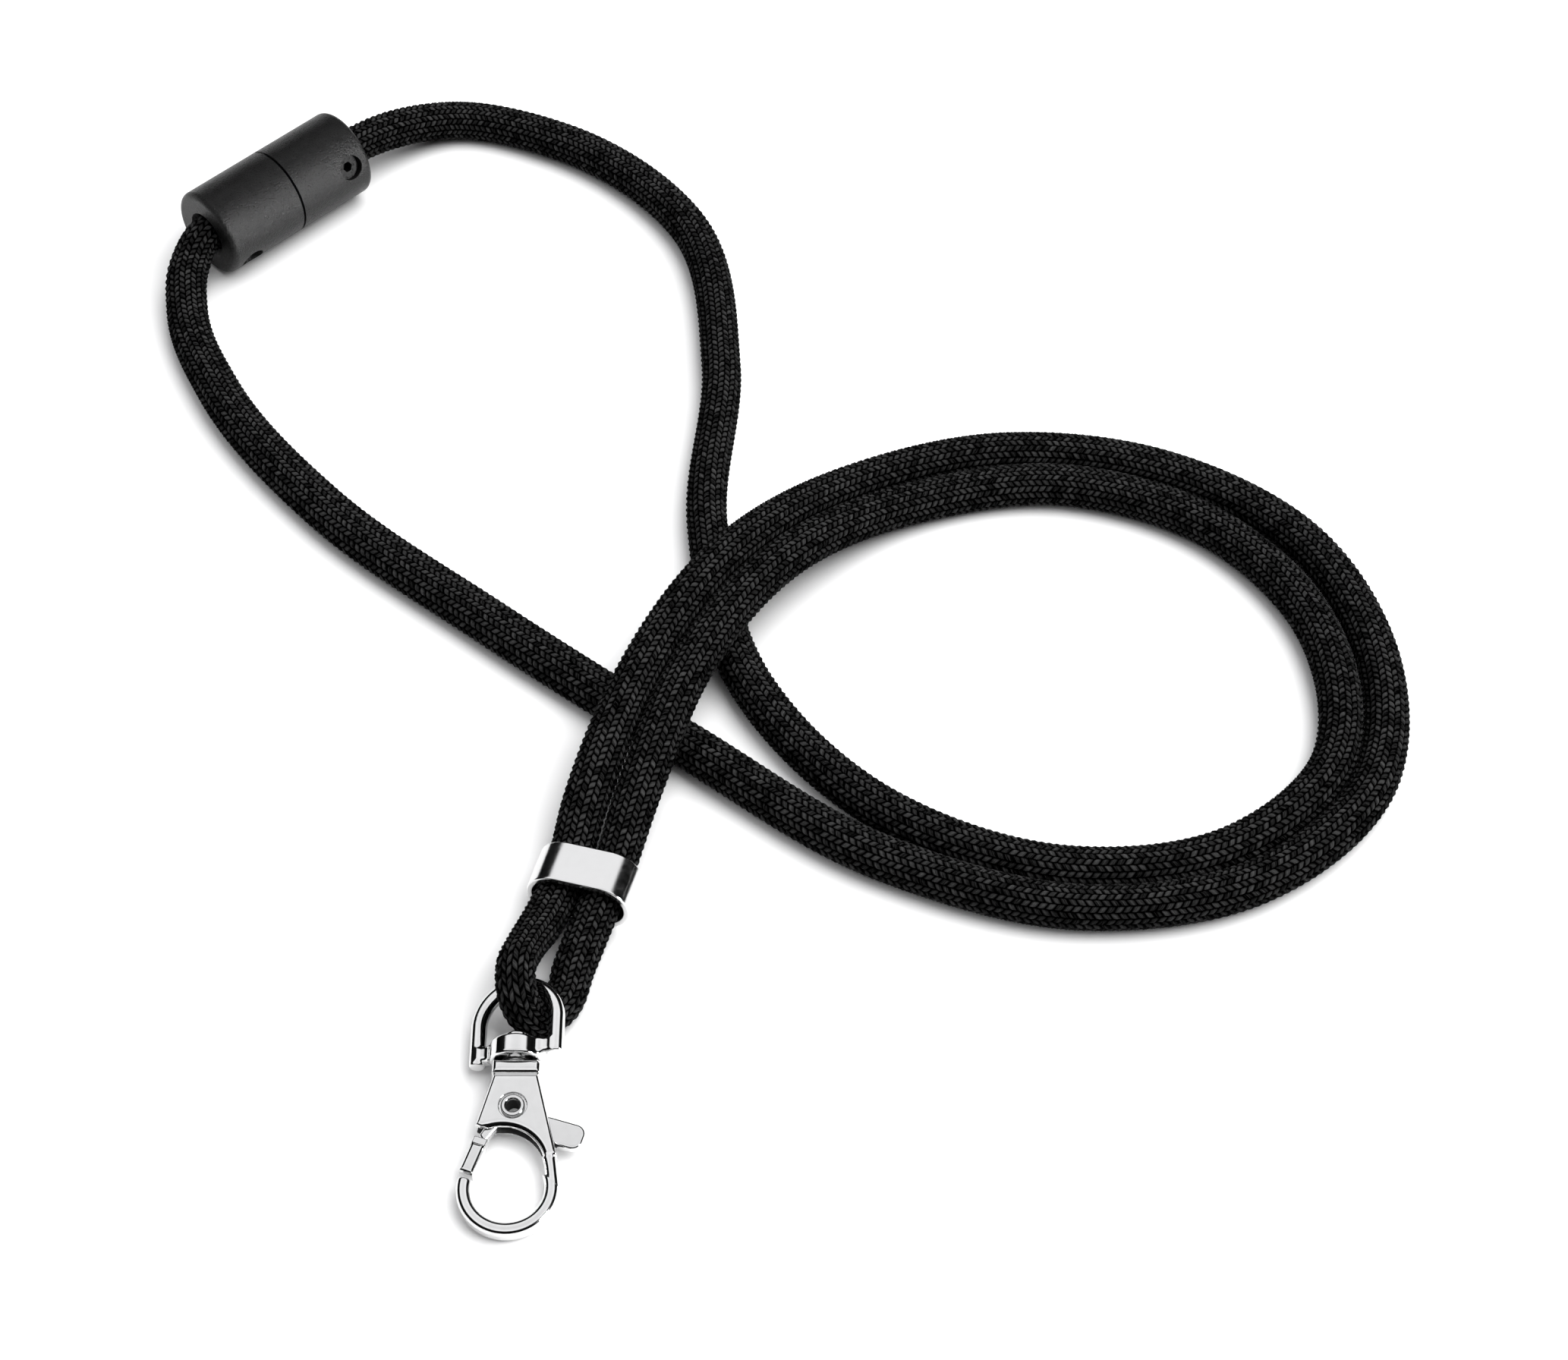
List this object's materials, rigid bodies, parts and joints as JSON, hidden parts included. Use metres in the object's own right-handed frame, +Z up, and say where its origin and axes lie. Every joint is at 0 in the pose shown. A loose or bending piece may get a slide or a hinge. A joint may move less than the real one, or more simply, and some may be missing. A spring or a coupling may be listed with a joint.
{
  "type": "lanyard",
  "caption": "Neck lanyard of round braided cord with a breakaway barrel connector, a flat cord ring and a swivel snap hook with a sprung gate.",
  "frame": {"origin": "on the surface the lanyard lies on, under the middle of the box round the connector, ring and hook", "axes": "+Z up from the surface, +Y from the hook towards the connector, +X across towards the cord's loop"},
  "size_m": [0.1823, 0.2098, 0.014],
  "materials": {
    "cord_braid": "matte braid",
    "ring_chrome": "satin chrome, polished edges",
    "connector_plastic": "fine satin texture",
    "screw_metal": "black oxide",
    "hook_chrome": "bright nickel",
    "lever_chrome": "bright nickel",
    "spring_steel": "drawn wire"
  },
  "bodies": {
    "cord_assembly": {"cord": "cord_braid", "cord_ring": "ring_chrome", "release_plug": "connector_plastic", "plug_screw": "screw_metal"},
    "socket": {"release_socket": "connector_plastic", "socket_screw": "screw_metal"},
    "eye": {"swivel_eye": "hook_chrome"},
    "hook": {"hook_body": "hook_chrome", "swivel_rivet": "hook_chrome", "gate_pivot": "lever_chrome", "gate_spring": "spring_steel"},
    "gate": {"gate_lever": "lever_chrome"}
  },
  "joints": [
    {"name": "release_slide", "type": "slide", "parent": "cord_assembly", "child": "socket", "axis": [-0.7071, -0.7071, 0], "range_m": [0, 0.008], "deforming": ["cord"]},
    {"name": "eye_swing", "type": "hinge", "parent": "cord_assembly", "child": "eye", "pos_m": [0.0235, -0.0651, 0.0051], "axis": [0.9455, 0, 0.3256], "range_deg": [0, 35]},
    {"name": "hook_swivel", "type": "hinge", "parent": "eye", "child": "hook", "pos_m": [0.0235, -0.0743, 0.0041], "axis": [0, 0.9945, 0.1045], "continuous": true},
    {"name": "gate_open", "type": "hinge", "parent": "hook", "child": "gate", "pos_m": [0.0235, -0.0828, 0.0032], "axis": [0, -0.1045, 0.9945], "range_deg": [0, 25], "stiffness_Nm_per_rad": 0.02, "springref_deg": -20.05}
  ]
}
